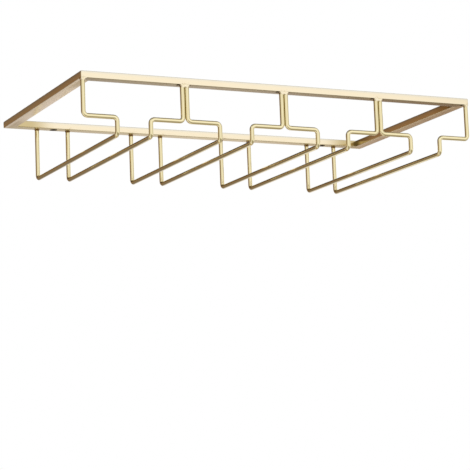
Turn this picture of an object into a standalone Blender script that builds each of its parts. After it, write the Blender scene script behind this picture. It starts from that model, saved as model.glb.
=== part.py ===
"""Hanging wine glass rack: a mitred tube frame that carries channels of bent rail wire.

Metres, +Z up. X runs along the rack's width and +Y points to its back. The origin is the middle of
the frame's top plane, which lies against the underside of the cabinet that the rack hangs from.
"""

from math import cos, pi, sin, sqrt

import bmesh
import bpy
from mathutils import Vector

# Frame of rectangular tube
rack_width = 0.430
rack_depth = 0.232
bar_width = 0.012
bar_height = 0.007
bar_wall = 0.001
bar_edge_radius = 0.0008

# Screw holes through the back bar
screw_hole_diameter = 0.0058
screw_hole_chamfer = 0.0002

# Rail wires, two to a channel
channel_count = 4
wire_diameter = 0.0045
bend_radius = 0.004
stem_gap = 0.030
step_drop = 0.036
rail_drop = 0.017

# Weld beads that join the wires to the bars
weld_root = 0.001
weld_toe = 0.0003
weld_lip = 0.0003
front_weld_leg = 0.0025
back_weld_leg = 0.0018

# Clearances
seat_gap = 0.0003
cut_overrun = 0.002
merge_share = 0.1

# Facets
wire_sides_setting = 3
bend_steps = 5
edge_steps = 2
weld_steps = 20
fillet_steps = 4
hole_steps = 32

# Sizes that follow
wire_radius = wire_diameter / 2
channel_pitch = rack_width / channel_count
wire_front_y = -rack_depth / 2 + wire_radius
wire_back_y = rack_depth / 2 - wire_radius
weld_top_z = -(bar_height + seat_gap)
wire_top_z = weld_top_z - weld_root - seat_gap
step_z = -(bar_height + step_drop)
rail_z = step_z - rail_drop
socket_radius = wire_radius + seat_gap

# Finish: pale gold, a satin metal coat
gold_colour = (0.72, 0.55, 0.28, 1.0)
gold_roughness = 0.28
gold_metallic = 1.0


def clear_scene():
    """Take every object out of the scene."""
    for old in list(bpy.data.objects):
        bpy.data.objects.remove(old, do_unlink=True)


def new_collection(name):
    """Add a collection to the scene."""
    made = bpy.data.collections.new(name)
    bpy.context.scene.collection.children.link(made)
    return made


def gold_finish(name):
    """The gold coat of one piece, as a material of its own."""
    material = bpy.data.materials.new(name + "_gold")
    material.use_nodes = True
    shader = material.node_tree.nodes["Principled BSDF"]
    shader.inputs["Base Color"].default_value = gold_colour
    shader.inputs["Roughness"].default_value = gold_roughness
    shader.inputs["Metallic"].default_value = gold_metallic
    return material


def add_piece(name, data, location=(0, 0, 0), turn=0):
    """Put a piece in the rack's collection, on the rack's origin, with its own material."""
    piece = bpy.data.objects.new(name, data)
    piece.location = location
    piece.rotation_euler.z = turn
    piece.parent = rack_origin
    data.materials.append(gold_finish(name))
    rack.objects.link(piece)
    return piece


def add_cutter(name, data, location=(0, 0, 0), turn=0):
    """Put a cutter or an operand of a Boolean in the cutters' collection, out of the render."""
    cutter = bpy.data.objects.new(name, data)
    cutter.location = location
    cutter.rotation_euler.z = turn
    cutter.parent = rack_origin
    cutter.hide_render = True
    cutter.display_type = "WIRE"
    cutters.objects.link(cutter)
    return cutter


def add_boolean(piece, operand, operation="DIFFERENCE"):
    """Cut, join or trim a piece with another object."""
    step = piece.modifiers.new(operand.name, "BOOLEAN")
    step.operation = operation
    step.object = operand
    step.solver = "EXACT"


def box_mesh(name, low, high):
    """A box between two corners, from the cube primitive."""
    low, high = Vector(low), Vector(high)
    shape = bmesh.new()
    bmesh.ops.create_cube(shape, size=1)
    bmesh.ops.scale(shape, vec=high - low, verts=shape.verts)
    bmesh.ops.translate(shape, vec=(low + high) / 2, verts=shape.verts)
    mesh = bpy.data.meshes.new(name)
    shape.to_mesh(mesh)
    shape.free()
    return mesh


def turned_mesh(name, profile):
    """An open profile of (radius, height) points, for a Screw modifier to turn."""
    mesh = bpy.data.meshes.new(name)
    points = [(radius, 0, height) for radius, height in profile]
    edges = [(i, i + 1) for i in range(len(points) - 1)]
    mesh.from_pydata(points, edges, [])
    return mesh


def turn_profile(piece, steps):
    """Turn a piece's profile all the way round its Z axis."""
    turned = piece.modifiers.new("turn", "SCREW")
    turned.axis = "Z"
    turned.steps = steps
    turned.render_steps = steps
    turned.use_merge_vertices = True
    turned.merge_threshold = seat_gap * merge_share


# Frame bars


def mitred_bar_mesh(name, length):
    """A bar along X with its outer side at -Y and its top at zero, cut at 45 degrees at both ends."""
    half_length = length / 2 - seat_gap / sqrt(2)
    low = (-half_length, -bar_width / 2, -bar_height)
    high = (half_length, bar_width / 2, 0)
    mesh = box_mesh(name, low, high)
    shape = bmesh.new()
    shape.from_mesh(mesh)
    for vert in shape.verts:
        if vert.co.y > 0:
            vert.co.x -= bar_width if vert.co.x > 0 else -bar_width
    weight = shape.edges.layers.float.new("bevel_weight_edge")
    for edge in shape.edges:
        ends_apart = edge.verts[0].co.x * edge.verts[1].co.x < 0
        edge[weight] = 1 if ends_apart else 0
    shape.to_mesh(mesh)
    shape.free()
    return mesh


def frame_bar(name, length, location, turn):
    """One tube of the frame: rounded along its length, mitred at its ends and hollow from end to end."""
    bar = add_piece(name, mitred_bar_mesh(name, length), location, turn)
    rounding = bar.modifiers.new("edges", "BEVEL")
    rounding.limit_method = "WEIGHT"
    rounding.width = bar_edge_radius
    rounding.segments = edge_steps
    reach = length / 2 + cut_overrun
    side = bar_width / 2 - bar_wall
    low = (-reach, -side, bar_wall - bar_height)
    high = (reach, side, -bar_wall)
    bore = add_cutter(name + "_bore", box_mesh(name + "_bore", low, high), location, turn)
    add_boolean(bar, bore)
    return bar


def screw_hole(bar, name, x):
    """A screw hole straight through the back bar, chamfered where the screw goes in."""
    radius = screw_hole_diameter / 2
    below = -bar_height - cut_overrun
    profile = [
        (0, cut_overrun),
        (radius, cut_overrun),
        (radius, screw_hole_chamfer - bar_height),
        (radius + screw_hole_chamfer + cut_overrun, below),
        (0, below),
    ]
    place = (x, rack_depth / 2 - bar_width / 2, 0)
    drill = add_cutter(name, turned_mesh(name, profile), place)
    turn_profile(drill, hole_steps)
    add_boolean(bar, drill)


def build_frame():
    """The four bars of the frame, with a screw hole over each outer channel in the back one."""
    to_long_bar = (rack_depth - bar_width) / 2
    to_side_bar = (rack_width - bar_width) / 2
    frame_bar("front_bar", rack_width, (0, -to_long_bar, 0), 0)
    frame_bar("right_bar", rack_depth, (to_side_bar, 0, 0), pi / 2)
    back_bar = frame_bar("back_bar", rack_width, (0, to_long_bar, 0), pi)
    frame_bar("left_bar", rack_depth, (-to_side_bar, 0, 0), -pi / 2)
    to_outer_channel = (rack_width - channel_pitch) / 2
    screw_hole(back_bar, "left_screw_hole", -to_outer_channel)
    screw_hole(back_bar, "right_screw_hole", to_outer_channel)


# Rail wires


def bent_path(corners, radius):
    """The corners' path with each inner corner rounded to the bend radius."""
    corners = [Vector(corner) for corner in corners]
    path = [corners[0]]
    for before, corner, after in zip(corners, corners[1:], corners[2:]):
        back = (before - corner).normalized()
        ahead = (after - corner).normalized()
        half_angle = back.angle(ahead) / 2
        middle = corner + (back + ahead).normalized() * radius / sin(half_angle)
        sweep = pi / 2 - half_angle
        inward = (corner - middle).normalized()
        sideways = (ahead - back).normalized()
        for i in range(bend_steps + 1):
            angle = sweep * (2 * i / bend_steps - 1)
            path.append(middle + radius * (inward * cos(angle) + sideways * sin(angle)))
    path.append(corners[-1])
    return path


def wire_curve(name, path):
    """A round wire along a path, its ends capped."""
    curve = bpy.data.curves.new(name, "CURVE")
    curve.dimensions = "3D"
    curve.bevel_depth = wire_radius
    curve.bevel_resolution = wire_sides_setting
    curve.use_fill_caps = True
    spline = curve.splines.new("POLY")
    spline.points.add(len(path) - 1)
    for point, place in zip(spline.points, path):
        point.co = (*place, 1)
    return curve


def channel_centre(channel):
    """Where the middle of a channel lies along X, counted from the left."""
    return (channel + 1 / 2) * channel_pitch - rack_width / 2


def front_wire_x(channel, side):
    """Where a wire meets the front bar: at the channel's edge, beside its neighbour's wire."""
    return channel_centre(channel) + side * (channel_pitch / 2 - wire_radius - seat_gap / 2)


def rail_x(channel, side):
    """Where a rail runs: half a stem gap and half a wire from the channel's middle."""
    return channel_centre(channel) + side * (stem_gap / 2 + wire_radius)


def rail_wire(name, channel, side):
    """One wire: down from the front bar, in to the rail's line, down, back, and up to the back bar."""
    outer, inner = front_wire_x(channel, side), rail_x(channel, side)
    corners = [
        (outer, wire_front_y, wire_top_z),
        (outer, wire_front_y, step_z),
        (inner, wire_front_y, step_z),
        (inner, wire_front_y, rail_z),
        (inner, wire_back_y, rail_z),
        (inner, wire_back_y, wire_top_z),
    ]
    add_piece(name, wire_curve(name, bent_path(corners, bend_radius)))


def build_rails():
    """A left and a right rail wire for each channel."""
    for channel in range(channel_count):
        rail_wire(f"rail_wire_{channel + 1}_left", channel, -1)
        rail_wire(f"rail_wire_{channel + 1}_right", channel, 1)


# Welds


def bead_profile(leg):
    """A weld bead's half section: flat against the bar, then a hollow fillet down to the wire."""
    toe_radius = socket_radius + leg
    lip_radius = socket_radius + weld_lip
    width = toe_radius - lip_radius
    profile = [(0, 0), (toe_radius, 0)]
    for i in range(fillet_steps + 1):
        angle = pi / 2 * i / fillet_steps
        profile.append((toe_radius - width * sin(angle), -weld_toe - leg * (1 - cos(angle))))
    profile.append((0, -weld_toe - leg))
    return profile


def weld_bead(name, places, leg):
    """The bead round the top of one wire or of two side by side, trimmed flush with the frame."""
    profile = bead_profile(leg)
    blanks = []
    for place in places:
        mesh = turned_mesh(name, profile)
        location = (*place, weld_top_z)
        blank = add_cutter(name + "_twin", mesh, location) if blanks else add_piece(name, mesh, location)
        turn_profile(blank, weld_steps)
        blanks.append(blank)
    bead = blanks[0]
    for twin in blanks[1:]:
        add_boolean(bead, twin, "UNION")
    for place in places:
        add_boolean(bead, wire_socket(name, place, leg))
    add_boolean(bead, outline, "INTERSECT")


def wire_socket(name, place, leg):
    """The room that a wire's end takes in a bead, with a seat gap all round."""
    shape = bmesh.new()
    depth = weld_toe + leg + cut_overrun
    bmesh.ops.create_cone(
        shape,
        cap_ends=True,
        segments=weld_steps,
        radius1=socket_radius,
        radius2=socket_radius,
        depth=depth,
    )
    mesh = bpy.data.meshes.new(name + "_socket")
    shape.to_mesh(mesh)
    shape.free()
    top = weld_top_z - weld_root
    return add_cutter(name + "_socket", mesh, (*place, top - depth / 2))


def frame_outline():
    """The space under the frame's outer edge, which trims the beads flush with its faces."""
    bottom = weld_top_z - weld_toe - front_weld_leg - back_weld_leg
    low = (-rack_width / 2, -rack_depth / 2, bottom)
    high = (rack_width / 2, rack_depth / 2, cut_overrun)
    return add_cutter("frame_outline", box_mesh("frame_outline", low, high))


def build_welds():
    """A bead where wires meet the front bar, singly or in pairs, and one for each wire at the back."""
    for border in range(channel_count + 1):
        places = []
        if border > 0:
            places.append((front_wire_x(border - 1, 1), wire_front_y))
        if border < channel_count:
            places.append((front_wire_x(border, -1), wire_front_y))
        weld_bead(f"front_weld_{border + 1}", places, front_weld_leg)
    for channel in range(channel_count):
        for side, word in ((-1, "left"), (1, "right")):
            place = (rail_x(channel, side), wire_back_y)
            weld_bead(f"back_weld_{channel + 1}_{word}", [place], back_weld_leg)


clear_scene()
rack = new_collection("hanging_wine_glass_rack")
cutters = new_collection("cutters")
rack_origin = bpy.data.objects.new("rack_origin", None)
rack.objects.link(rack_origin)
outline = frame_outline()
build_frame()
build_rails()
build_welds()
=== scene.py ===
"""Looks of the hanging wine glass rack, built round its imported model.

The rack is a mitred frame of rectangular steel tube with eight bent wires welded under it, all
plated in a pale gold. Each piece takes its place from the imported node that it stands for.
Lengths are in metres, +X runs to the right, +Y to the back and +Z up.
"""

from __future__ import annotations

import logging
from collections.abc import Iterator
from dataclasses import dataclass
from enum import Enum
from math import cos, pi, radians, sin, tau

import bmesh
import bpy
import numpy as np
from mathutils import Matrix, Vector, noise


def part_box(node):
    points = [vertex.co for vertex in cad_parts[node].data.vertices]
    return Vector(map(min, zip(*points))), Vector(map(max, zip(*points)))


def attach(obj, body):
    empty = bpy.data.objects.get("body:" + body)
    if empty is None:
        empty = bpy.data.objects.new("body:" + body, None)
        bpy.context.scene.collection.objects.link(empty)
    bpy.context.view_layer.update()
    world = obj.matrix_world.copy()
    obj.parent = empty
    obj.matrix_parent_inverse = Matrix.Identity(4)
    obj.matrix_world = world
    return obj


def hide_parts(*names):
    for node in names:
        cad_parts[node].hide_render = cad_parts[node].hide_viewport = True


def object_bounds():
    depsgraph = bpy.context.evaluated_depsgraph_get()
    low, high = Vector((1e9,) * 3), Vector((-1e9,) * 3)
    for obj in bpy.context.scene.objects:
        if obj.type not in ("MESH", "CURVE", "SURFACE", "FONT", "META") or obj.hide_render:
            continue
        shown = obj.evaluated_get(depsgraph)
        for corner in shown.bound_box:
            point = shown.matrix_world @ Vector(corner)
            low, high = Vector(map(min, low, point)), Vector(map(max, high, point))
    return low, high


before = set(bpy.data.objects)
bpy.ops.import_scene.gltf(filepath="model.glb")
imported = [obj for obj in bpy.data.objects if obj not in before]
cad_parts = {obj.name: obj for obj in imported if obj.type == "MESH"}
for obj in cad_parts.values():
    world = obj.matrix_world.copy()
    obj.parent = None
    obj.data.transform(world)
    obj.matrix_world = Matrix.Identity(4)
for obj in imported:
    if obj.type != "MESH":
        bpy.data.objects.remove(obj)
cad_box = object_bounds()

MM = 0.001
BODY = "root"
PITCH = 107.5 * MM
CHANNELS = (1, 2, 3, 4)
# Noise seldom leaves this range, so a value that follows it is stretched over the range.
NOISE_LOW, NOISE_HIGH = 0.3, 0.7
report = logging.getLogger("wine_glass_rack")

Tree = bpy.types.NodeTree
Socket = bpy.types.NodeSocket
Mesh = bpy.types.Mesh
Piece = bpy.types.Object
Inputs = dict[str | int, object]
Colour = tuple[float, float, float, float]
Point = tuple[float, float, float]
Pair = tuple[float, float]
Range = tuple[Socket, float, float]
Wear = tuple[Socket, str | None, float]
Outputs = bpy.types.bpy_prop_collection


# Helpers that every piece uses


def linear(hex_colour: str, strength: float = 1.0) -> Colour:
    """Turn an sRGB hex colour to linear light.

    Args:
        hex_colour: A number sign and six hex digits.
        strength: What the linear colour is multiplied by.

    Returns:
        The linear colour, with an alpha of one.
    """
    written = [int(hex_colour[start : start + 2], 16) / 255 for start in (1, 3, 5)]
    light = [c / 12.92 if c <= 0.04045 else ((c + 0.055) / 1.055) ** 2.4 for c in written]
    return (light[0] * strength, light[1] * strength, light[2] * strength, 1.0)


def fill_inputs(node: bpy.types.Node, inputs: Inputs) -> None:
    """Fill or link a node's inputs.

    Args:
        node: The node.
        inputs: For each input's name or number, a value, a hex colour or the output to link.
    """
    for key, value in inputs.items():
        if isinstance(value, Socket):
            node.id_data.links.new(value, node.inputs[key])
        elif isinstance(value, str) and value.startswith("#"):
            node.inputs[key].default_value = linear(value)
        else:
            node.inputs[key].default_value = value


def add_node(
    tree: Tree, kind: str, inputs: Inputs | None = None, **settings: object
) -> bpy.types.Node:
    """Add a node with its settings, and fill or link its inputs.

    Args:
        tree: The tree that gets the node.
        kind: The node's type.
        inputs: What its inputs get.
        settings: The node's own properties.

    Returns:
        The new node.
    """
    node = tree.nodes.new(kind)
    for name, value in settings.items():
        setattr(node, name, value)
    fill_inputs(node, inputs or {})
    return node


def find_where(tree: Tree, *ranges: Range, share: Socket | float = 1.0) -> Socket:
    """Find where each of some values is in its range, with soft limits.

    Args:
        tree: The tree that gets the nodes.
        ranges: For each value, its output, where the find begins and where it is full.
        share: What a full find gives.

    Returns:
        An output that is the share inside all of the ranges, and zero outside any of them.
    """
    found = share
    for value, begins, full in ranges:
        part = add_node(
            tree,
            "ShaderNodeMapRange",
            {0: value, 1: begins, 2: full},
            interpolation_type="SMOOTHSTEP",
        ).outputs[0]
        found = add_node(
            tree, "ShaderNodeMath", {0: part, 1: found}, operation="MULTIPLY"
        ).outputs[0]
    return found


def wear_in(tree: Tree, colour: str, rough: Socket, *places: Wear) -> tuple[Socket, Socket]:
    """Tint and dull a plate in some places, one after the other.

    Args:
        tree: The tree that gets the nodes.
        colour: The plate's colour.
        rough: The plate's roughness.
        places: For each place, its share, its tint if it has one, and the roughness it adds.

    Returns:
        The colour and the roughness with the places in them.
    """
    for share, tint, haze in places:
        if tint:
            colour = add_node(
                tree, "ShaderNodeMix", {0: share, 6: colour, 7: tint}, data_type="RGBA"
            ).outputs[2]
        if haze:
            rough = add_node(
                tree, "ShaderNodeMath", {0: share, 1: haze, 2: rough}, operation="MULTIPLY_ADD"
            ).outputs[0]
    return colour, rough


def fold_pitch(tree: Tree, across: Socket, shift: float = 0.0) -> Socket:
    """Fold the rack's width up at its channels' pitch.

    Args:
        tree: The tree that gets the nodes.
        across: The X coordinate.
        shift: What is added to it first.

    Returns:
        The distance from the nearest multiple of the pitch.
    """
    moved = add_node(tree, "ShaderNodeMath", {0: across, 1: shift}, operation="ADD").outputs[0]
    return add_node(
        tree, "ShaderNodeMath", {0: moved, 1: PITCH / 2}, operation="PINGPONG"
    ).outputs[0]


def direction(azimuth: float, elevation: float) -> Vector:
    """Give the unit vector towards a place in the studio.

    Args:
        azimuth: Degrees from the back, +Y, towards the right, +X.
        elevation: Degrees above the horizon.

    Returns:
        The unit vector.
    """
    turn, rise = radians(azimuth), radians(elevation)
    return Vector((sin(turn) * cos(rise), cos(turn) * cos(rise), sin(rise)))


def mesh_from_rings(name: str, rings: list[list[Point]], closed: bool) -> Mesh:
    """Skin a row of rings that have the same number of points.

    Args:
        name: The mesh's name.
        rings: The rings, each a closed loop of points.
        closed: True if the last ring joins the first one, false if both ends are capped.

    Returns:
        A closed mesh with its faces pointing outwards.
    """
    shape = bmesh.new()
    rows = [[shape.verts.new(point) for point in ring] for ring in rings]
    for row, next_row in zip(rows, rows[1:] + rows[:1] if closed else rows[1:]):
        for i, vert in enumerate(row):
            shape.faces.new((vert, row[i - 1], next_row[i - 1], next_row[i]))
    if not closed:
        shape.faces.new(rows[0])
        shape.faces.new(rows[-1])
    bmesh.ops.recalc_face_normals(shape, faces=shape.faces)
    mesh = bpy.data.meshes.new(name)
    shape.to_mesh(mesh)
    shape.free()
    mesh.shade_smooth()
    return mesh


def show(name: str, mesh: Mesh) -> Piece:
    """Put a mesh in the scene, with its object at the origin.

    Args:
        name: The object's name.
        mesh: The mesh.

    Returns:
        The object.
    """
    piece = bpy.data.objects.new(name, mesh)
    bpy.context.scene.collection.objects.link(piece)
    return piece


def apply_modifiers(piece: Piece) -> None:
    """Turn a piece's live modifiers into a plain mesh.

    Args:
        piece: The piece, which ends with no modifier.
    """
    graph = bpy.context.evaluated_depsgraph_get()
    plain = bpy.data.meshes.new_from_object(piece.evaluated_get(graph))
    piece.modifiers.clear()
    piece.data = plain
    plain.name = piece.name


def seat(piece: Piece, node: str) -> None:
    """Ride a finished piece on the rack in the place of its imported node.

    Args:
        piece: The finished piece.
        node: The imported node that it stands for.
    """
    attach(piece, BODY)
    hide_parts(node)
    report.info("%s stands for %s with %d faces", piece.name, node, len(piece.data.polygons))


# Finishes


class Finish:
    """A finish, whose nodes give a material's shader what it takes."""

    name: str

    def look(self, tree: Tree, place: Socket) -> Inputs:
        """Add the finish's nodes.

        Args:
            tree: The material's tree.
            place: The object coordinates.

        Returns:
            What each of the shader's inputs takes.
        """
        raise NotImplementedError

    def material(self) -> bpy.types.Material:
        """Build the material.

        Returns:
            The material.
        """
        made = bpy.data.materials.new(self.name)
        made.use_nodes = True
        tree = made.node_tree
        place = add_node(tree, "ShaderNodeTexCoord").outputs["Object"]
        fill_inputs(tree.nodes["Principled BSDF"], self.look(tree, place))
        return made


@dataclass(frozen=True)
class WeldMarks:
    """Where a bar was warmed and dressed at its welds, and where shade is painted under the front
    bar by them, repeated at the channels' pitch.

    The shift moves the places that repeat, and the marks lie at the reach to both sides of them.
    A pair of lengths says where a mark begins and where it is full.
    """

    shift: float = 0.0
    reach: float = 0.0
    half_length: Pair = (5.5 * MM, 1.65 * MM)
    height: Pair = (-3.2 * MM, -6.6 * MM)
    # Painted shade under the front bar, by each weld.
    shade_shift: float = 1.0 * MM
    shade_half_length: Pair = (7.6 * MM, 6.46 * MM)
    shade_depth: Pair = (6 * MM, 3.6 * MM)
    shade_height: Pair = (-6.65 * MM, -6.85 * MM)

    def beside_welds(self, tree: Tree, axes: Outputs) -> list[Range]:
        """Give the ranges of the dressed places beside the welds.

        Args:
            tree: The material's tree.
            axes: The outputs with the object coordinates' three parts.

        Returns:
            The ranges.
        """
        folded = fold_pitch(tree, axes["X"], self.shift)
        off = add_node(tree, "ShaderNodeMath", {0: folded, 1: self.reach}, operation="SUBTRACT")
        away = add_node(tree, "ShaderNodeMath", {0: off.outputs[0]}, operation="ABSOLUTE")
        return [(away.outputs[0], *self.half_length), (axes["Z"], *self.height)]

    def painted_shade_by_welds(self, tree: Tree, axes: Outputs) -> list[Range]:
        """Give the ranges of the painted shade under the front bar, by each weld.

        Args:
            tree: The material's tree.
            axes: The outputs with the object coordinates' three parts.

        Returns:
            The ranges.
        """
        begins, full = (cad_box[0].y + depth for depth in self.shade_depth)
        return [
            (fold_pitch(tree, axes["X"], self.shade_shift), *self.shade_half_length),
            (axes["Y"], begins, full),
            (axes["Z"], *self.shade_height),
        ]


class Polish(Enum):
    """The direction in which a bar was polished, which is its own length."""

    ALONG_X = "along_x"
    ALONG_Y = "along_y"


@dataclass(frozen=True)
class PlatedTube(Finish):
    """Steel tube, ground and belt polished along its length, then plated in pale gold.

    It gives the eye a satin metal with soft reflections, with faint lines along the bar and slow
    clouds in the plate's depth of colour. A painted highlight makes its rounded edges paler, and
    painted shade makes a greyer strip along the top. Painted shade also darkens it inside the
    frame's corners, on the side bars' inner faces by the corners, underneath, where its plate is
    also duller, under the front bar by each weld and round the screw holes underneath. Welding
    left it mottled and darker beside the welds. A pair of lengths says where a tint begins and
    where it is full.
    """

    name: str
    polish: Polish
    marks: WeldMarks | None = None
    # Painted shade under the bar, if it has one.
    underside_shade_gold: str | None = None
    # The right hole's middle. The left hole mirrors it.
    hole_place: Pair | None = None
    gold: str = "#FDF0D2"
    deep_gold: str = "#FAEACA"
    # Painted highlight along the rounded edges.
    edge_highlight_gold: str = "#FDF3DC"
    # Painted shade: the strip along the top is greyer.
    top_shade_gold: str = "#EEE6D2"
    top_height: Pair = (-3 * MM, -0.6 * MM)
    underside_height: Pair = (-6.4 * MM, -6.8 * MM)
    underside_haze: float = 0.14
    # Painted shade inside the frame's corners.
    corner_shade_gold: str = "#C2AC70"
    corner_share: float = 0.75
    corner_depth: Pair = (1.5 * MM, 5 * MM)
    corner_run: Pair = (56 * MM, 24 * MM)
    # Painted shade on the side bars' inner faces by the corners.
    side_shade_gold: str = "#5E4C18"
    side_shade_share: float = 0.9
    shade_depth: Pair = (11.4 * MM, 11.8 * MM)
    side_shade_run: Pair = (25 * MM, 14 * MM)
    # Painted shade round the screw holes underneath.
    hole_shade: str = "#241C10"
    hole_shade_radius: Pair = (4.3 * MM, 3.8 * MM)
    hole_shade_haze: float = 0.65
    blotch_gold: str = "#CFB482"
    blotch_noise: Pair = (0.5, 0.68)
    blotch_share: float = 0.8
    blotch_haze: float = 0.15
    # Painted shade under the front bar, by each weld.
    spot_shade_gold: str = "#40320E"
    spot_haze: float = 0.45
    # Where the plate's gold is deepest, and where it is palest.
    roughness: Pair = (0.09, 0.14)
    cloud_size: float = 26 * MM
    # Real belt lines are about 0.1 mm apart. They are drawn coarser, so that they show.
    line_gap: float = 1.1 * MM
    line_length: float = 70 * MM
    line_height: float = 0.009 * MM
    line_haze: float = 0.05
    peel_size: float = 3.2 * MM
    peel_height: float = 0.008 * MM
    spatter_size: float = 1.3 * MM
    spatter_height: float = 0.09 * MM

    def look(self, tree: Tree, place: Socket) -> Inputs:
        """Add the plate's clouds and polish lines, its tints, its painted highlight and painted
        shade, and the marks beside its welds.

        Args:
            tree: The material's tree.
            place: The object coordinates.

        Returns:
            What each of the shader's inputs takes.
        """
        axes = add_node(tree, "ShaderNodeSeparateXYZ", {0: place}).outputs
        edge = add_node(tree, "ShaderNodeAttribute", attribute_name="edge").outputs["Fac"]
        cloud = add_node(
            tree,
            "ShaderNodeTexNoise",
            {"Vector": place, "Scale": 1 / self.cloud_size, "Detail": 3.0, "Roughness": 0.55},
        ).outputs["Fac"]
        peel, spatter = (
            add_node(tree, "ShaderNodeTexNoise", {"Vector": place, "Scale": 1 / size}).outputs[0]
            for size in (self.peel_size, self.spatter_size)
        )
        lines = self._polish_lines(tree, place)
        share = self.peel_height / self.line_height
        height = add_node(
            tree, "ShaderNodeMath", {0: peel, 1: share, 2: lines}, operation="MULTIPLY_ADD"
        ).outputs[0]
        bump = add_node(
            tree, "ShaderNodeBump", {"Height": height, "Distance": self.line_height}
        ).outputs[0]
        places = [
            (cloud, self.gold, 0.0),
            # Painted highlight along the rounded edges.
            (edge, self.edge_highlight_gold, 0.0),
            (lines, None, self.line_haze),
            *self._heated_places(tree, axes),
        ]
        if self.marks:
            beside = self.marks.beside_welds(tree, axes)
            noisy = (spatter, *self.blotch_noise)
            blotch = find_where(tree, noisy, *beside, share=self.blotch_share)
            places.append((blotch, self.blotch_gold, self.blotch_haze))
            # Painted shade under the front bar, by each weld.
            shade_spots = find_where(tree, *self.marks.painted_shade_by_welds(tree, axes))
            places.append((shade_spots, self.spot_shade_gold, self.spot_haze))
            pits = find_where(tree, *beside, share=spatter)
            bump = add_node(
                tree,
                "ShaderNodeBump",
                {"Height": pits, "Distance": self.spatter_height, "Normal": bump},
            ).outputs[0]
        smooth, dull = self.roughness
        rough = add_node(
            tree,
            "ShaderNodeMapRange",
            {0: cloud, 1: NOISE_LOW, 2: NOISE_HIGH, 3: smooth, 4: dull},
        ).outputs[0]
        colour, rough = wear_in(tree, self.deep_gold, rough, *places)
        return {"Metallic": 1.0, "Base Color": colour, "Roughness": rough, "Normal": bump}

    def _heated_places(self, tree: Tree, axes: Outputs) -> list[Wear]:
        """Find the painted shade on the top, in the corners, underneath and round the screw holes.

        Args:
            tree: The material's tree.
            axes: The outputs with the object coordinates' three parts.

        Returns:
            The places, with their tints and the roughness that they add.
        """
        outer = []
        for axis, half in (("X", cad_box[1].x), ("Y", cad_box[1].y)):
            far = add_node(tree, "ShaderNodeMath", {0: axes[axis]}, operation="ABSOLUTE").outputs[0]
            room = add_node(tree, "ShaderNodeMath", {0: half, 1: far}, operation="SUBTRACT")
            outer.append((far, room.outputs[0]))
        (side, side_room), (_, end_room) = outer
        depth, run = (
            add_node(
                tree, "ShaderNodeMath", {0: side_room, 1: end_room}, operation=choice
            ).outputs[0]
            for choice in ("MINIMUM", "MAXIMUM")
        )
        # Painted shade: a greyer strip along the top.
        above = find_where(tree, (axes["Z"], *self.top_height))
        # Painted shade under the bars, where the plate is also duller.
        below = find_where(tree, (axes["Z"], *self.underside_height))
        # Painted shade inside the frame's corners.
        corner = find_where(
            tree, (depth, *self.corner_depth), (run, *self.corner_run), share=self.corner_share
        )
        places = [(above, self.top_shade_gold, 0.0), (corner, self.corner_shade_gold, 0.0)]
        if self.polish is Polish.ALONG_Y:
            # Painted shade on the side bars' inner faces by the corners.
            scale = find_where(
                tree, (depth, *self.shade_depth), (run, *self.side_shade_run), share=self.side_shade_share
            )
            places.append((scale, self.side_shade_gold, 0.0))
        places.append((below, self.underside_shade_gold, self.underside_haze))
        if self.hole_place:
            flat = add_node(tree, "ShaderNodeCombineXYZ", {0: side, 1: axes["Y"]}).outputs[0]
            off = add_node(
                tree,
                "ShaderNodeVectorMath",
                {0: flat, 1: (*self.hole_place, 0.0)},
                operation="DISTANCE",
            ).outputs["Value"]
            # Painted shade round the screw holes underneath.
            shaded_rims = find_where(tree, (off, *self.hole_shade_radius), share=below)
            places.append((shaded_rims, self.hole_shade, self.hole_shade_haze))
        return places

    def _polish_lines(self, tree: Tree, place: Socket) -> Socket:
        """Add noise that is drawn out along the bar.

        Args:
            tree: The material's tree.
            place: The object coordinates.

        Returns:
            The noise, from zero to one.
        """
        long, short = 1 / self.line_length, 1 / self.line_gap
        stretch = {
            Polish.ALONG_X: (long, short, short),
            Polish.ALONG_Y: (short, long, short),
        }[self.polish]
        drawn = add_node(tree, "ShaderNodeMapping", {"Vector": place, "Scale": stretch})
        return add_node(
            tree, "ShaderNodeTexNoise", {"Vector": drawn.outputs[0], "Scale": 1.0}
        ).outputs["Fac"]


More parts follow.
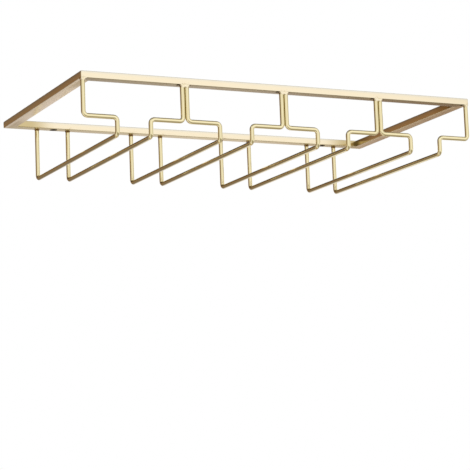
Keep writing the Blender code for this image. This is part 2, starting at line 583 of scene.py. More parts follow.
@dataclass(frozen=True)
class PlatedWire(Finish):
    """Cold drawn steel wire, plated in a pale gold that is a little greener than the tube's.

    It gives the eye a round satin metal whose highlight is slightly drawn out along the wire. In
    the narrow gap between two neighbouring wires the plate is duller, and painted shade darkens it.
    """

    name: str = "drawn_steel_wire_plated_in_pale_gold"
    gold: str = "#F9EEC6"
    deep_gold: str = "#F3E4B4"
    # Painted shade in the gap between paired wires.
    gap_shade_gold: str = "#B9A65C"
    # How far from the middle of the gap the painted shade and duller plate begin, and where they
    # are full.
    recess_off: Pair = (0.62 * MM, 0.3 * MM)
    recess_haze: float = 0.2
    # Neighbouring wires stand this near to the rack's middle. Further out there is no gap.
    paired_reach: float = 1.5 * PITCH
    # From the smoothest drawing line to the dullest.
    roughness: Pair = (0.05, 0.1)
    cloud_size: float = 18 * MM
    # Real drawing lines are under 0.1 mm apart. They are drawn coarser, so that they show.
    line_gap: float = 0.6 * MM
    line_length: float = 45 * MM
    line_height: float = 0.004 * MM

    def look(self, tree: Tree, place: Socket) -> Inputs:
        """Add the plate's clouds and drawing lines along the wire, and the painted shade and duller
        plate between paired wires.

        Args:
            tree: The material's tree.
            place: The object coordinates.

        Returns:
            What each of the shader's inputs takes.
        """
        around = add_node(tree, "ShaderNodeAttribute", attribute_name="round_wire")
        along = add_node(tree, "ShaderNodeAttribute", attribute_name="along_wire")
        axes = add_node(tree, "ShaderNodeSeparateXYZ", {0: around.outputs["Vector"]}).outputs
        straight = add_node(
            tree, "ShaderNodeCombineXYZ", {0: axes[0], 1: axes[1], 2: along.outputs["Fac"]}
        ).outputs[0]
        cloud = add_node(
            tree,
            "ShaderNodeTexNoise",
            {"Vector": straight, "Scale": 1 / self.cloud_size, "Detail": 3.0},
        ).outputs["Fac"]
        gap, length = 1 / self.line_gap, 1 / self.line_length
        drawn = add_node(
            tree, "ShaderNodeMapping", {"Vector": straight, "Scale": (gap, gap, length)}
        )
        lines = add_node(
            tree, "ShaderNodeTexNoise", {"Vector": drawn.outputs[0], "Scale": 1.0}
        ).outputs["Fac"]
        across = add_node(tree, "ShaderNodeSeparateXYZ", {0: place}).outputs["X"]
        side = add_node(tree, "ShaderNodeMath", {0: across}, operation="ABSOLUTE").outputs[0]
        paired = add_node(
            tree, "ShaderNodeMath", {0: side, 1: self.paired_reach}, operation="LESS_THAN"
        ).outputs[0]
        # Painted shade, and a duller plate, in the gap between paired wires.
        gap_shade = find_where(tree, (fold_pitch(tree, across), *self.recess_off), share=paired)
        smooth, dull = self.roughness
        rough = add_node(
            tree,
            "ShaderNodeMapRange",
            {0: lines, 1: NOISE_LOW, 2: NOISE_HIGH, 3: smooth, 4: dull},
        ).outputs[0]
        bump = add_node(
            tree, "ShaderNodeBump", {"Height": lines, "Distance": self.line_height}
        ).outputs[0]
        places = ((cloud, self.gold, 0.0), (gap_shade, self.gap_shade_gold, self.recess_haze))
        colour, rough = wear_in(tree, self.deep_gold, rough, *places)
        return {"Metallic": 1.0, "Base Color": colour, "Roughness": rough, "Normal": bump}


@dataclass(frozen=True)
class BareBore(Finish):
    """Mill steel inside the tubes, which the plate doesn't reach.

    It gives the eye a dull, nearly black brown down the screw holes.
    """

    name: str = "unplated_mill_steel_bore"
    steel: str = "#2A2414"
    dark_steel: str = "#17130B"
    roughness: float = 0.55
    scale_size: float = 3 * MM

    def look(self, tree: Tree, place: Socket) -> Inputs:
        """Add the bore's patches of mill scale.

        Args:
            tree: The material's tree.
            place: The object coordinates.

        Returns:
            What each of the shader's inputs takes.
        """
        scale = add_node(
            tree, "ShaderNodeTexNoise", {"Vector": place, "Scale": 1 / self.scale_size}
        ).outputs["Fac"]
        colour = add_node(
            tree,
            "ShaderNodeMix",
            {0: scale, 6: self.dark_steel, 7: self.steel},
            data_type="RGBA",
        ).outputs[2]
        return {"Metallic": 1.0, "Base Color": colour, "Roughness": self.roughness}


@dataclass(frozen=True)
class PlatedWeld(Finish):
    """Weld metal, plated with the rest of the rack.

    Where it was dressed flush it gives the eye a softer, slightly rippled gold. Its recesses
    weren't dressed, and painted shade there turns it a dark bronze.
    """

    name: str = "steel_weld_plated_in_pale_gold"
    gold: str = "#FDF0D2"
    hollow_gold: str = "#F0E0B6"
    # Painted shade in the weld's recesses.
    shade_bronze: str = "#8A683C"
    deep_shade_bronze: str = "#5A4122"
    # In a ripple's hollow, and on its smoother crest.
    roughness: Pair = (0.26, 0.14)
    ripple_size: float = 1.2 * MM
    ripple_height: float = 0.05 * MM
    ripple_rise: Pair = (0.35, 0.55)

    def look(self, tree: Tree, place: Socket) -> Inputs:
        """Add the weld's ripples, and the painted shade where it wasn't dressed.

        Args:
            tree: The material's tree.
            place: The object coordinates.

        Returns:
            What each of the shader's inputs takes.
        """
        ripple = add_node(
            tree,
            "ShaderNodeTexNoise",
            {"Vector": place, "Scale": 1 / self.ripple_size, "Detail": 2.5},
        ).outputs["Fac"]
        low, high = self.ripple_rise
        hollow, crest = self.roughness
        rise, rough = (
            add_node(
                tree,
                "ShaderNodeMapRange",
                {0: ripple, 1: ends[0], 2: ends[1], 3: ends[2], 4: ends[3]},
            ).outputs[0]
            for ends in ((low, high, 0.0, 1.0), (NOISE_LOW, NOISE_HIGH, hollow, crest))
        )
        # A painted shade of dark bronze, and the plate's gold.
        scale, plate = (
            add_node(
                tree, "ShaderNodeMix", {0: rise, 6: under, 7: over}, data_type="RGBA"
            ).outputs[2]
            for under, over in ((self.deep_shade_bronze, self.shade_bronze), (self.hollow_gold, self.gold))
        )
        # Where it wasn't dressed, the painted shade shows.
        dressed = add_node(tree, "ShaderNodeAttribute", attribute_name="dressed").outputs["Fac"]
        colour = add_node(
            tree, "ShaderNodeMix", {0: dressed, 6: scale, 7: plate}, data_type="RGBA"
        ).outputs[2]
        bump = add_node(
            tree, "ShaderNodeBump", {"Height": ripple, "Distance": self.ripple_height}
        ).outputs[0]
        return {"Metallic": 1.0, "Base Color": colour, "Roughness": rough, "Normal": bump}


# The frame of four bars


@dataclass(frozen=True)
class BarLine:
    """Where one bar lies: its outer corner, the way that it runs and the way in from outside."""

    node: str
    corner: Pair
    along: tuple[int, int]
    inward: tuple[int, int]
    length: float
    polish: Polish
    marks: WeldMarks | None = None
    # Painted shade under the bar, if it has one.
    underside_shade_gold: str | None = None


@dataclass
class TubeFrame:
    """The flat frame: four rectangular tubes, mitred, welded and ground at the corners."""

    bar_width: float = 12 * MM
    bar_height: float = 7 * MM
    wall: float = 1 * MM
    plate_room: float = 0.001 * MM
    edge_radius: float = 0.6 * MM
    bore_radius: float = 0.3 * MM
    crown: float = 0.01
    corner_radius: float = 1.0 * MM
    mitre_step: float = 0.4 * MM
    edge_steps: int = 6
    flat_steps: int = 6
    corner_steps: int = 6
    hole_diameter: float = 5.8 * MM
    hole_chamfer: float = 0.2 * MM
    hole_sides: int = 48
    hole_x: float = 1.5 * PITCH
    drill_overrun: float = 0.5 * MM
    crease: float = radians(32)
    rail_offset: float = 17.25 * MM

    def build(self) -> None:
        """Build and seat the four bars."""
        bare = BareBore().material()
        for line in self._lines():
            self._bar(line, bare)

    def _lines(self) -> Iterator[BarLine]:
        """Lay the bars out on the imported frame.

        Yields:
            The front, back, left and right bar.
        """
        low, high = cad_box
        wide, deep = high.x - low.x, high.y - low.y
        x_way, y_way = Polish.ALONG_X, Polish.ALONG_Y
        back_marks = WeldMarks(shift=-PITCH / 2, reach=self.rail_offset)
        # The last colour of a bar is its painted shade underneath.
        yield BarLine(
            "front_bar", (low.x, low.y), (1, 0), (0, 1), wide, x_way, WeldMarks(), "#A9996C"
        )
        yield BarLine(
            "back_bar", (high.x, high.y), (-1, 0), (0, -1), wide, x_way, back_marks, "#DACC9C"
        )
        yield BarLine("left_bar", (low.x, high.y), (0, -1), (1, 0), deep, y_way)
        yield BarLine(
            "right_bar", (high.x, low.y), (0, 1), (-1, 0), deep, y_way, None, "#E2CFA6"
        )

    def _section(self, inset: float, radius: float, crown: float) -> list[Pair]:
        """Draw the tube's section or its bore's, with its faces slightly crowned.

        Args:
            inset: How far the outline lies inside the tube's outside.
            radius: The radius of its corners.
            crown: How far each face swells, as a share of its width.

        Returns:
            Points as distance in from the bar's outer face and height.
        """
        wide, narrow = crown * self.bar_width, crown * self.bar_height
        near, far = inset + narrow, self.bar_width - inset - narrow
        top, deep = -inset - wide, -self.bar_height + inset + wide
        centres = (
            (near + radius, top - radius, 90),
            (near + radius, deep + radius, 180),
            (far - radius, deep + radius, 270),
            (far - radius, top - radius, 0),
        )
        arcs = []
        for across, high, first in centres:
            turns = [radians(first + 90 * n / self.edge_steps) for n in range(self.edge_steps + 1)]
            arcs.append([Vector((cos(turn), sin(turn))) * radius for turn in turns])
            for point in arcs[-1]:
                point += Vector((across, high))
        points = []
        for number, arc in enumerate(arcs):
            points += arc
            out = (arc[-1] - Vector(centres[number][:2])).normalized()
            swell = wide if number % 2 else narrow
            after = arcs[(number + 1) % len(arcs)][0]
            for step in range(1, self.flat_steps):
                share = step / self.flat_steps
                points.append(arc[-1].lerp(after, share) + out * swell * 4 * share * (1 - share))
        return [tuple(point) for point in points]

    def _station(self, across: float, step: int) -> Pair:
        """Find where a line along the bar passes one of the steps round the ground corner.

        Args:
            across: The line's distance in from the bar's outer face.
            step: Zero on the mitre, and the number of corner steps where the corner ends.

        Returns:
            The distance along the bar from its outer corner, and in from its outer face.
        """
        radius = self.corner_radius - across
        if radius <= 0:
            return across + step * self.mitre_step, across
        turn = radians(45) * (1 - step / self.corner_steps)
        return self.corner_radius - radius * sin(turn), self.corner_radius - radius * cos(turn)

    def _ring(self, line: BarLine, section: list[Pair], step: int, far_end: bool) -> list[Point]:
        """Place one section of a bar.

        Args:
            line: Where the bar lies.
            section: The section's points.
            step: The step from the mitre.
            far_end: True at the bar's far end.

        Returns:
            The section's points in place.
        """
        ring = []
        for across, high in section:
            along, inside = self._station(across, step)
            run = line.length - along if far_end else along
            x = line.corner[0] + run * line.along[0] + inside * line.inward[0]
            y = line.corner[1] + run * line.along[1] + inside * line.inward[1]
            ring.append((x, y, high))
        return ring

    def _bar(self, line: BarLine, bare: bpy.types.Material) -> None:
        """Build, drill, dress and seat one bar.

        Args:
            line: Where the bar lies.
            bare: The bore's finish.
        """
        steps = [(step, False) for step in range(self.corner_steps + 1)]
        steps += [(step, True) for step in reversed(range(self.corner_steps + 1))]
        outside = self._section(self.plate_room, self.edge_radius, self.crown)
        bore = self._section(self.wall, self.bore_radius, 0.0)
        rings = [self._ring(line, outside, step, far) for step, far in steps]
        rings += [self._ring(line, bore, step, far) for step, far in reversed(steps)]
        mesh = mesh_from_rings(f"{line.node}_tube", rings, closed=True)
        self._mark_edges(mesh, len(rings) // 2)
        piece = show(f"{line.node}_tube", mesh)
        drilled = line.node == "back_bar"
        middle = line.corner[1] + line.inward[1] * self.bar_width / 2
        plate = PlatedTube(
            f"belt_polished_pale_gold_{line.node}",
            line.polish,
            line.marks,
            line.underside_shade_gold,
            (self.hole_x, middle) if drilled else None,
        )
        mesh.materials.append(plate.material())
        mesh.materials.append(bare)
        outside_faces = len(steps) * len(outside)
        for face in mesh.polygons[outside_faces : -len(outside)]:
            face.material_index = 1
        if drilled:
            self._drill(piece, middle)
        self._hold_flats(piece)
        seat(piece, line.node)

    def _mark_edges(self, mesh: Mesh, outer_rings: int) -> None:
        """Store how near each point is to the middle of a rounded edge, for the finish's painted
        highlight.

        Args:
            mesh: The bar's mesh.
            outer_rings: The number of rings on its outside.
        """
        group = self.edge_steps + self.flat_steps
        edge_highlight = mesh.attributes.new("edge", "FLOAT", "POINT")
        values = np.zeros(len(mesh.vertices), dtype=np.float32)
        for number in range(outer_rings * 4 * group):
            step = min(number % group, self.edge_steps)
            values[number] = sin(pi * step / self.edge_steps)
        edge_highlight.data.foreach_set("value", values)

    def _drill(self, piece: Piece, middle: float) -> None:
        """Cut the screw holes through both walls of a bar.

        Args:
            piece: The bar.
            middle: The holes' place from front to back.
        """
        radius, lip, over = self.hole_diameter / 2, self.hole_chamfer, self.drill_overrun
        levels = (
            (over, radius + lip + over),
            (-lip, radius),
            (-self.bar_height + lip, radius),
            (-self.bar_height - over, radius + lip + over),
        )
        turns = [tau * (side + 0.5) / self.hole_sides for side in range(self.hole_sides)]
        drills = []
        for centre in (-self.hole_x, self.hole_x):
            rings = [
                [(centre + wide * cos(turn), middle + wide * sin(turn), high) for turn in turns]
                for high, wide in levels
            ]
            drill = show(f"drill_{len(drills)}", mesh_from_rings("drill", rings, closed=False))
            for finish in piece.data.materials:
                drill.data.materials.append(finish)
            for face in drill.data.polygons:
                face.material_index = 1
            cut = piece.modifiers.new("screw_hole", "BOOLEAN")
            cut.operation = "DIFFERENCE"
            cut.solver = "EXACT"
            cut.object = drill
            drills.append(drill)
        apply_modifiers(piece)
        for drill in drills:
            bpy.data.objects.remove(drill)

    def _hold_flats(self, piece: Piece) -> None:
        """Crease the cut edges and keep the shading of the flat faces flat.

        Args:
            piece: The bar.
        """
        shape = bmesh.new()
        shape.from_mesh(piece.data)
        for edge in shape.edges:
            edge.smooth = len(edge.link_faces) == 2 and edge.calc_face_angle(0.0) < self.crease
        for face in shape.faces:
            face.smooth = True
        shape.to_mesh(piece.data)
        shape.free()
        flats = piece.modifiers.new("flat_faces", "WEIGHTED_NORMAL")
        flats.keep_sharp = True
        apply_modifiers(piece)


# The rail wires


class Hand(Enum):
    """The side of its channel on which a wire lies."""

    LEFT = "left"
    RIGHT = "right"


@dataclass(frozen=True)
class WirePath:
    """The corners of one wire's bent path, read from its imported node."""

    node: str
    outer_x: float
    inner_x: float
    front_y: float
    back_y: float
    rail_z: float


@dataclass
class RailWires:
    """Eight wires: down from the front bar, in, down again, to the back and up to the back bar."""

    diameter: float = 4.5 * MM
    bend_radius: float = 4.0 * MM
    rail_drop: float = 17 * MM
    root: float = 0.15 * MM
    sides: int = 48
    bend_steps: int = 10

    def paths(self) -> dict[str, WirePath]:
        """Read the wires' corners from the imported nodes.

        Returns:
            For each node's name, its path.
        """
        radius = self.diameter / 2
        found = {}
        for channel in CHANNELS:
            for hand in Hand:
                node = f"rail_wire_{channel}_{hand.value}"
                low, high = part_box(node)
                ends = (low.x + radius, high.x - radius)
                outer, inner = ends if hand is Hand.LEFT else ends[::-1]
                found[node] = WirePath(
                    node, outer, inner, low.y + radius, high.y - radius, low.z + radius
                )
        return found

    def build(self) -> None:
        """Build and seat the eight wires."""
        top_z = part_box("front_bar")[0].z + self.root
        finish = PlatedWire().material()
        tree = self._tree()
        names = {
            item.name: item.identifier
            for item in tree.interface.items_tree
            if item.in_out == "INPUT"
        }
        for path in self.paths().values():
            piece = show(f"{path.node}_bent", bpy.data.meshes.new(path.node))
            bend = piece.modifiers.new("bend", "NODES")
            bend.node_group = tree
            sizes = {
                "Outer X": path.outer_x,
                "Inner X": path.inner_x,
                "Front Y": path.front_y,
                "Back Y": path.back_y,
                "Top Z": top_z,
                "Step Z": path.rail_z + self.rail_drop,
                "Rail Z": path.rail_z,
                "Wire Diameter": self.diameter,
                "Bend Radius": self.bend_radius,
                "Bend Steps": self.bend_steps,
                "Sides": self.sides,
                "Finish": finish,
            }
            for name, value in sizes.items():
                bend[names[name]] = value
            apply_modifiers(piece)
            seat(piece, path.node)

    def _tree(self) -> Tree:
        """Build the node tree that bends a wire along its corners.

        Returns:
            The geometry node tree.
        """
        tree = bpy.data.node_groups.new("bent_rail_wire", "GeometryNodeTree")
        lengths = ("Outer X", "Inner X", "Front Y", "Back Y", "Top Z", "Step Z", "Rail Z")
        for name in (*lengths, "Wire Diameter", "Bend Radius"):
            tree.interface.new_socket(name, in_out="INPUT", socket_type="NodeSocketFloat")
        for name in ("Bend Steps", "Sides"):
            tree.interface.new_socket(name, in_out="INPUT", socket_type="NodeSocketInt")
        tree.interface.new_socket("Finish", in_out="INPUT", socket_type="NodeSocketMaterial")
        tree.interface.new_socket("Wire", in_out="OUTPUT", socket_type="NodeSocketGeometry")
        size = add_node(tree, "NodeGroupInput").outputs
        corners = (
            ("Outer X", "Front Y", "Top Z"),
            ("Outer X", "Front Y", "Step Z"),
            ("Inner X", "Front Y", "Step Z"),
            ("Inner X", "Front Y", "Rail Z"),
            ("Inner X", "Back Y", "Rail Z"),
            ("Inner X", "Back Y", "Top Z"),
        )
        choice = add_node(tree, "GeometryNodeIndexSwitch", data_type="VECTOR")
        for _ in corners[2:]:
            choice.index_switch_items.new()
        places = {0: add_node(tree, "GeometryNodeInputIndex").outputs[0]}
        for number, (x, y, z) in enumerate(corners, start=1):
            corner = {0: size[x], 1: size[y], 2: size[z]}
            places[number] = add_node(tree, "ShaderNodeCombineXYZ", corner).outputs[0]
        fill_inputs(choice, places)
        radius = add_node(
            tree, "ShaderNodeMath", {0: size["Wire Diameter"], 1: 0.5}, operation="MULTIPLY"
        )
        ring = add_node(
            tree,
            "GeometryNodeCurvePrimitiveCircle",
            {"Resolution": size["Sides"], "Radius": radius.outputs[0]},
        )
        spot = add_node(tree, "GeometryNodeInputPosition")
        profile = add_node(
            tree,
            "GeometryNodeStoreNamedAttribute",
            {0: ring.outputs[0], "Name": "round_wire", "Value": spot.outputs[0]},
            data_type="FLOAT_VECTOR",
            domain="POINT",
        )
        run = add_node(tree, "GeometryNodeSplineParameter").outputs["Length"]
        steps = (
            ("GeometryNodeSetPosition", {"Position": choice.outputs[0]}, {}),
            ("GeometryNodeMeshToCurve", {}, {}),
            (
                "GeometryNodeFilletCurve",
                {"Count": size["Bend Steps"], "Radius": size["Bend Radius"]},
                {"mode": "POLY"},
            ),
            (
                "GeometryNodeStoreNamedAttribute",
                {"Name": "along_wire", "Value": run},
                {"data_type": "FLOAT", "domain": "POINT"},
            ),
            (
                "GeometryNodeCurveToMesh",
                {"Profile Curve": profile.outputs[0], "Fill Caps": True},
                {},
            ),
            ("GeometryNodeSetShadeSmooth", {}, {}),
            ("GeometryNodeRealizeInstances", {}, {}),
            ("GeometryNodeSetMaterial", {"Material": size["Finish"]}, {}),
            ("NodeGroupOutput", {}, {}),
        )
        flow = add_node(tree, "GeometryNodeMeshLine", {"Count": len(corners)})
        for kind, inputs, settings in steps:
            flow = add_node(tree, kind, {0: flow.outputs[0], **inputs}, **settings)
        return tree


# The weld beads


@dataclass(frozen=True)
class Bead:
    """One weld: its node, the wires that it holds, its two legs and how far it was dressed."""

    node: str
    wires: tuple[Pair, ...]
    leg: float
    drop: float
    least_dressed: float


@dataclass
class WeldBeads:
    """Thirteen fillet welds round the wires' tops, dressed flush with the frame's outline."""

    wires: RailWires
    front_leg: float = 0.95 * MM
    end_leg: float = 2.3 * MM
    back_leg: float = 0.55 * MM
    front_drop: float = 3.0 * MM
    back_drop: float = 2.1 * MM
    # Each row inside the bar: its share of the rise, and its share of the leg.
    rise: float = 0.72 * MM
    rise_rows: tuple[Pair, ...] = ((1.0, 0.5), (0.6, 0.72), (0.25, 0.92))
    rows: int = 16
    row_crowding: float = 1.4
    sides: int = 96
    corner_radius: float = 1.0 * MM
    skin: float = 0.04 * MM
    soft_edge: float = 0.12 * MM
    top_blend: float = 1.6 * MM
    toe_blend: float = 0.35 * MM
    toe_sink: float = 0.05 * MM
    ripple: float = 0.12 * MM
    ripple_size: float = 1.6 * MM
    # Painted shade darkens a bead beyond this depth inside the frame's outline, and each kind of
    # bead keeps at least its share of pale plate.
    dressed_depth: float = 1.0 * MM
    pair_dressed: float = 0.1
    end_dressed: float = 0.5
    search_reach: float = 12 * MM
    search_steps: int = 40

    def build(self) -> None:
        """Build and seat the beads."""
        finish = PlatedWeld().material()
        for bead in self._beads():
            mesh = mesh_from_rings(f"{bead.node}_bead", self._rings(bead), closed=False)
            mesh.materials.append(finish)
            self._mark_dressed(mesh, bead)
            seat(show(f"{bead.node}_bead", mesh), bead.node)

    def _mark_dressed(self, mesh: Mesh, bead: Bead) -> None:
        """Store how far a bead was dressed, most where it is flush; the finish paints shade where
        it wasn't.

        Args:
            mesh: The bead's mesh.
            bead: The weld.
        """
        points = np.zeros(3 * len(mesh.vertices), dtype=np.float32)
        mesh.vertices.foreach_get("co", points)
        plan = points.reshape(-1, 3)[:, :2]
        room = (np.array((cad_box[1].x, cad_box[1].y)) - np.abs(plan)).min(axis=1)
        flush = np.sqrt(np.clip(1 - room / self.dressed_depth, 0, 1))
        sides = np.array([x for x, _ in bead.wires])
        off = np.abs(plan[:, 0] - sides.mean()) - np.ptp(sides) / 2
        between = np.clip(-off / self.dressed_depth, 0, 1)
        share = np.maximum(flush, between) if bead.least_dressed else flush
        share = np.maximum(share, bead.least_dressed)
        dressed = mesh.attributes.new("dressed", "FLOAT", "POINT")
        dressed.data.foreach_set("value", share.astype(np.float32))

    def _beads(self) -> Iterator[Bead]:
        """List the beads with the wires that they hold.

        Yields:
            The five beads of the front bar, then the eight of the back bar.
        """
        paths = self.wires.paths()
        front = {name: (path.outer_x, path.front_y) for name, path in paths.items()}
        last = CHANNELS[-1]
        drop, dressed = self.front_drop, self.end_dressed
        first_wire, last_wire = front["rail_wire_1_left"], front[f"rail_wire_{last}_right"]
        yield Bead("front_weld_1", (first_wire,), self.end_leg, drop, dressed)
        for channel in CHANNELS[:-1]:
            pair = (front[f"rail_wire_{channel}_right"], front[f"rail_wire_{channel + 1}_left"])
            node = f"front_weld_{channel + 1}"
            yield Bead(node, pair, self.front_leg, drop, self.pair_dressed)
        yield Bead(f"front_weld_{last + 1}", (last_wire,), self.front_leg, drop, dressed)
        for name, path in paths.items():
            node = name.replace("rail_wire", "back_weld")
            wire = (path.inner_x, path.back_y)
            yield Bead(node, (wire,), self.back_leg, self.back_drop, 0.0)

    def _outline(self, bead: Bead, spread: float, blend: float) -> np.ndarray:
        """Draw the level line at a distance from the wires, flowing together between them.

        Args:
            bead: The weld.
            spread: The distance from the wires' surface.
            blend: How far the lines round two wires flow together.

        Returns:
            One plan point for each side.
        """
        wires = np.array(bead.wires)
        centre = wires.mean(axis=0)
        turns = np.linspace(0, tau, self.sides, endpoint=False)
        rays = np.stack([np.cos(turns), np.sin(turns)], axis=1)
        near = np.zeros(self.sides)
        far = np.full(self.sides, self.search_reach)
        for _ in range(self.search_steps):
            middle = (near + far) / 2
            points = centre + rays * middle[:, None]
            gaps = np.linalg.norm(points[:, None, :] - wires[None], axis=2)
            gaps -= self.wires.diameter / 2
            merged = -blend * np.log(np.exp(-gaps / blend).sum(axis=1))
            inside = merged < spread
            near = np.where(inside, middle, near)
            far = np.where(inside, far, middle)
        return centre + rays * near[:, None]

    def _dress(self, points: np.ndarray) -> np.ndarray:
        """Grind the plan points back to the frame's rounded outline.

        Args:
            points: Plan points.

        Returns:
            The points, inside the outline.
        """
        half = np.array((cad_box[1].x, cad_box[1].y)) - self.skin
        signs = np.where(points < 0, -1.0, 1.0)
        room = half - np.abs(points)
        soft = self.soft_edge
        eased = np.where(room < soft, np.clip(room + soft, 0, None) ** 2 / (4 * soft), room)
        kept = half - eased
        centre = half - self.corner_radius
        past = kept - centre
        reach = np.linalg.norm(past, axis=1)
        outside = (past > 0).all(axis=1) & (reach > self.corner_radius)
        pulled = centre + past * (self.corner_radius / np.maximum(reach, MM * MM))[:, None]
        return np.where(outside[:, None], pulled, kept) * signs

    def _rings(self, bead: Bead) -> list[list[Point]]:
        """Shape a bead from its top, inside the bar, to its toe on the wires.

        Args:
            bead: The weld.

        Returns:
            Its rings, from the top down.
        """
        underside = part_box("front_bar")[0].z
        levels = [(self.rise * high, share) for high, share in self.rise_rows]
        for row in range(self.rows + 1):
            down = (row / self.rows) ** self.row_crowding
            levels.append((-bead.drop * down, 1 - (1 - (1 - down) ** 2) ** 0.5))
        rings = []
        for high, share in levels:
            down = max(0.0, -high / bead.drop)
            blend = self.top_blend + (self.toe_blend - self.top_blend) * down**4
            spread = bead.leg * share - self.toe_sink * down
            points = self._outline(bead, spread, blend)
            centre = points.mean(axis=0)
            swell = self.ripple * 4 * down * (1 - down)
            for i, point in enumerate(points):
                spot = Vector((*point, high)) / self.ripple_size
                out = (point - centre) / np.linalg.norm(point - centre)
                points[i] += out * (swell * noise.noise(spot))
            points = self._dress(points)
            rings.append([(float(x), float(y), underside + high) for x, y in points])
        return rings


# The studio and the camera


@dataclass(frozen=True)
class Cloth:
    """A dyed or lit cloth hung in the studio, which the metal mirrors."""

    azimuth: float
    elevation: float
    half_width: float
    half_height: float
    softness: float
    colour: str
    top_colour: str | None = None
    strength: float = 1.0
    # The two colours blend within this share of the half height from the cloth's middle.
    fade: float = 0.6
    # The cosine of the angle from the middle at which it starts to fade, out to a right angle.
    facing: float = 0.35

    def hang(self, tree: Tree, way: Socket) -> tuple[Socket, Socket]:
        """Add nodes that find the cloth round the studio, and its colour.

        Args:
            tree: The surround's tree.
            way: The unit vector from the rack.

        Returns:
            An output that is one on the cloth and zero away from it, and the cloth's colour.
        """
        ahead = direction(self.azimuth, self.elevation)
        right = direction(self.azimuth + 90, 0) / sin(radians(self.half_width))
        up = direction(self.azimuth, self.elevation + 90) / sin(radians(self.half_height))
        across, high, near = (
            add_node(
                tree, "ShaderNodeVectorMath", {0: way, 1: axis}, operation="DOT_PRODUCT"
            ).outputs["Value"]
            for axis in (right, up, ahead)
        )
        flat = add_node(tree, "ShaderNodeCombineXYZ", {0: across, 1: high}).outputs[0]
        off = add_node(tree, "ShaderNodeVectorMath", {0: flat}, operation="LENGTH").outputs["Value"]
        rim = (off, 1 + self.softness, 1 - self.softness)
        cover = find_where(tree, rim, (near, 0.0, self.facing))
        climb = add_node(
            tree, "ShaderNodeMapRange", {0: high, 1: -self.fade, 2: self.fade}
        ).outputs[0]
        below = linear(self.colour, self.strength)
        above = linear(self.top_colour or self.colour, self.strength)
        dye = add_node(
            tree, "ShaderNodeMix", {0: climb, 6: below, 7: above}, data_type="RGBA"
        ).outputs[2]
        return cover, dye


@dataclass(frozen=True)
class Softbox:
    """A soft square lamp that faces the rack, which the metal doesn't mirror."""

    name: str
    azimuth: float
    elevation: float
    distance: float
    size: float
    watts: float

    def hang(self) -> None:
        """Hang the lamp."""
        data = bpy.data.lights.new(self.name, "AREA")
        data.size = self.size
        data.energy = self.watts
        lamp = bpy.data.objects.new(self.name, data)
        lamp.visible_glossy = False
        lamp.location = direction(self.azimuth, self.elevation) * self.distance
        lamp.rotation_euler = (-lamp.location).to_track_quat("-Z", "Y").to_euler()
        bpy.context.scene.collection.objects.link(lamp)


@dataclass(frozen=True)
class MattPaper(Finish):
    """Matt paper, rolled out as a floor.

    It gives the eye a plain pale ground that fades into the white at its rim.
    """

    radius: float
    name: str = "matt_paper_floor"
    colour: str = "#E6E4E0"
    cloud_shade: float = 0.97
    cloud_size: float = 250 * MM
    fade_from: float = 0.45
    roughness: float = 0.9
    specular: float = 0.2

    def look(self, tree: Tree, place: Socket) -> Inputs:
        """Add the paper's faint clouds and faded rim, and keep it out of the metal's mirror.

        Args:
            tree: The material's tree.
            place: The object coordinates.

        Returns:
            What each of the shader's inputs takes.
        """
        cloud = add_node(
            tree,
            "ShaderNodeTexNoise",
            {"Vector": place, "Scale": 1 / self.cloud_size, "Detail": 4.0},
        ).outputs["Fac"]
        away = add_node(tree, "ShaderNodeVectorMath", {0: place}, operation="LENGTH")
        mirrored = add_node(tree, "ShaderNodeLightPath").outputs["Is Glossy Ray"]
        straight = add_node(
            tree, "ShaderNodeMath", {0: 1.0, 1: mirrored}, operation="SUBTRACT"
        ).outputs[0]
        rim = (away.outputs["Value"], self.radius, self.fade_from * self.radius)
        shade = linear(self.colour, self.cloud_shade)
        colour = add_node(
            tree, "ShaderNodeMix", {0: cloud, 6: shade, 7: self.colour}, data_type="RGBA"
        ).outputs[2]
        return {
            "Base Color": colour,
            "Roughness": self.roughness,
            "Specular IOR Level": self.specular,
            "Alpha": find_where(tree, rim, share=straight),
        }


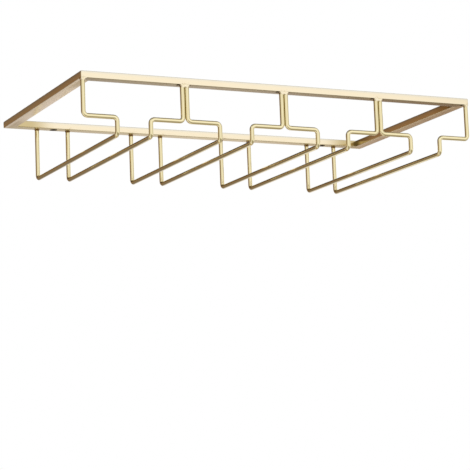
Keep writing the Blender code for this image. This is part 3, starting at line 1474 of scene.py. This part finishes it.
@dataclass
class Studio:
    """A white studio with a pale floor, soft lamps, and dyed and lit cloths for the metal."""

    floor_z: float = -1.5
    floor_radius: float = 6.0
    floor_sides: int = 96
    surround_radius: float = 3.0
    surround_levels: int = 5
    fill: float = 0.62
    fill_colour: str = "#FFFDFA"
    white: str = "#FFFFFF"
    softboxes: tuple[Softbox, ...] = (
        Softbox("front_softbox", -128, 24, 2.4, 1.4, 2.0),
        Softbox("top_softbox", 70, 62, 2.6, 1.8, 24.0),
    )
    cloths: tuple[Cloth, ...] = (
        Cloth(150, 54, 75, 24, 0.5, "#E6E8EC"),
        Cloth(150, 33, 40, 11, 0.4, "#FFFFFF", strength=1.3),
        Cloth(100, 80, 40, 36, 0.5, "#A8A496"),
        Cloth(15, 42, 62, 19, 0.35, "#8C8474"),
        Cloth(150, -56, 80, 28, 0.33, "#AAA493"),
        Cloth(45, -56, 32, 14, 0.35, "#94866C"),
        Cloth(-28, -60, 44, 15, 0.35, "#B09460"),
        Cloth(-135, 10, 30, 25, 0.6, "#F0EEEA"),
        Cloth(125, 8, 16, 24, 0.4, "#C9C5B8"),
        Cloth(21, -13, 22, 12, 0.4, "#F8F1F6"),
        Cloth(46, -13, 17, 10, 0.3, "#8E7058"),
        Cloth(-24, -18, 38, 20, 0.35, "#82766A"),
        Cloth(-30, 13, 48, 16, 0.35, "#946F46", "#806A57"),
        Cloth(-9, 13, 14, 16, 0.35, "#866F4F", "#746A60"),
        Cloth(-82, 10, 26, 32, 0.35, "#887961"),
        Cloth(-14, 45, 42, 27, 0.25, "#463B30"),
    )

    def build(self) -> None:
        """Build the world, the floor, the surround and the lamps."""
        self._world()
        self._floor()
        self._surround()
        for softbox in self.softboxes:
            softbox.hang()

    def _world(self) -> None:
        """Fill the studio with white, and light the floor a little less than that."""
        world = bpy.data.worlds.new("white_studio")
        world.use_nodes = True
        bpy.context.scene.world = world
        tree = world.node_tree
        tree.nodes.clear()
        ray = add_node(tree, "ShaderNodeLightPath").outputs
        seen = ray["Is Camera Ray"]
        for kind in ("Is Glossy Ray", "Is Transmission Ray"):
            seen = add_node(
                tree, "ShaderNodeMath", {0: seen, 1: ray[kind]}, operation="MAXIMUM"
            ).outputs[0]
        fill, white = (
            add_node(tree, "ShaderNodeBackground", {"Color": colour, "Strength": strength})
            for colour, strength in ((self.fill_colour, self.fill), (self.white, 1.0))
        )
        mixed = add_node(
            tree, "ShaderNodeMixShader", {0: seen, 1: fill.outputs[0], 2: white.outputs[0]}
        )
        add_node(tree, "ShaderNodeOutputWorld", {"Surface": mixed.outputs[0]})

    def _floor(self) -> None:
        """Lay the pale floor."""
        shape = bmesh.new()
        bmesh.ops.create_circle(
            shape, cap_ends=True, segments=self.floor_sides, radius=self.floor_radius
        )
        bmesh.ops.translate(shape, vec=(0, 0, self.floor_z), verts=shape.verts)
        mesh = bpy.data.meshes.new("floor")
        shape.to_mesh(mesh)
        shape.free()
        mesh.materials.append(MattPaper(self.floor_radius).material())
        show("floor", mesh)

    def _surround(self) -> None:
        """Hang the cloths on a dome that only reflections show."""
        shape = bmesh.new()
        bmesh.ops.create_icosphere(
            shape, subdivisions=self.surround_levels, radius=self.surround_radius
        )
        mesh = bpy.data.meshes.new("studio_surround")
        shape.to_mesh(mesh)
        shape.free()
        made = bpy.data.materials.new("dyed_studio_cloths")
        made.use_nodes = True
        tree = made.node_tree
        tree.nodes.clear()
        place = add_node(tree, "ShaderNodeTexCoord").outputs["Object"]
        way = add_node(tree, "ShaderNodeVectorMath", {0: place}, operation="NORMALIZE").outputs[0]
        glow, clear = "#000000", 1.0
        for cloth in self.cloths:
            cover, dye = cloth.hang(tree, way)
            glow = add_node(
                tree, "ShaderNodeMix", {0: cover, 6: glow, 7: dye}, data_type="RGBA"
            ).outputs[2]
            bare = add_node(tree, "ShaderNodeMath", {0: 1.0, 1: cover}, operation="SUBTRACT")
            clear = add_node(
                tree, "ShaderNodeMath", {0: clear, 1: bare.outputs[0]}, operation="MULTIPLY"
            ).outputs[0]
        shine = add_node(tree, "ShaderNodeEmission", {"Color": glow}).outputs[0]
        gap = add_node(tree, "ShaderNodeBsdfTransparent", {"Color": clear}).outputs[0]
        both = add_node(tree, "ShaderNodeAddShader", {0: shine, 1: gap}).outputs[0]
        add_node(tree, "ShaderNodeOutputMaterial", {"Surface": both})
        made.cycles.emission_sampling = "NONE"
        mesh.materials.append(made)
        surround = show("studio_surround", mesh)
        surround.visible_camera = False
        surround.visible_diffuse = False
        surround.visible_shadow = False


@dataclass(frozen=True)
class PhotoCamera:
    """The photograph's camera, solved from the frame's edges and the wires."""

    place: Point = (-0.82635, -1.71233, -0.43018)
    yaw: float = 25.629
    pitch: float = 8.905
    roll: float = 2.262
    focal_pixels: float = 1854.69
    frame_pixels: int = 470
    sensor: float = 36.0
    sight: float = 50.0

    def build(self) -> None:
        """Set the camera up and make it the scene's."""
        data = bpy.data.cameras.new("photo_camera")
        data.sensor_width = self.sensor
        data.lens = self.focal_pixels * self.sensor / self.frame_pixels
        data.clip_end = self.sight
        camera = bpy.data.objects.new("photo_camera", data)
        bpy.context.scene.collection.objects.link(camera)
        turn = Matrix.Rotation(radians(-self.yaw), 4, "Z")
        turn @= Matrix.Rotation(radians(90 + self.pitch), 4, "X")
        turn @= Matrix.Rotation(radians(-self.roll), 4, "Z")
        camera.matrix_world = Matrix.Translation(self.place) @ turn
        bpy.context.scene.camera = camera


def main() -> None:
    """Build the rack's sub-assemblies in order, then the studio round it."""
    logging.basicConfig(level=logging.INFO, format="%(name)s: %(message)s")
    bpy.context.scene.view_settings.view_transform = "Standard"
    wires = RailWires()
    TubeFrame().build()
    wires.build()
    WeldBeads(wires).build()
    Studio().build()
    PhotoCamera().build()


if __name__ == "__main__":
    main()
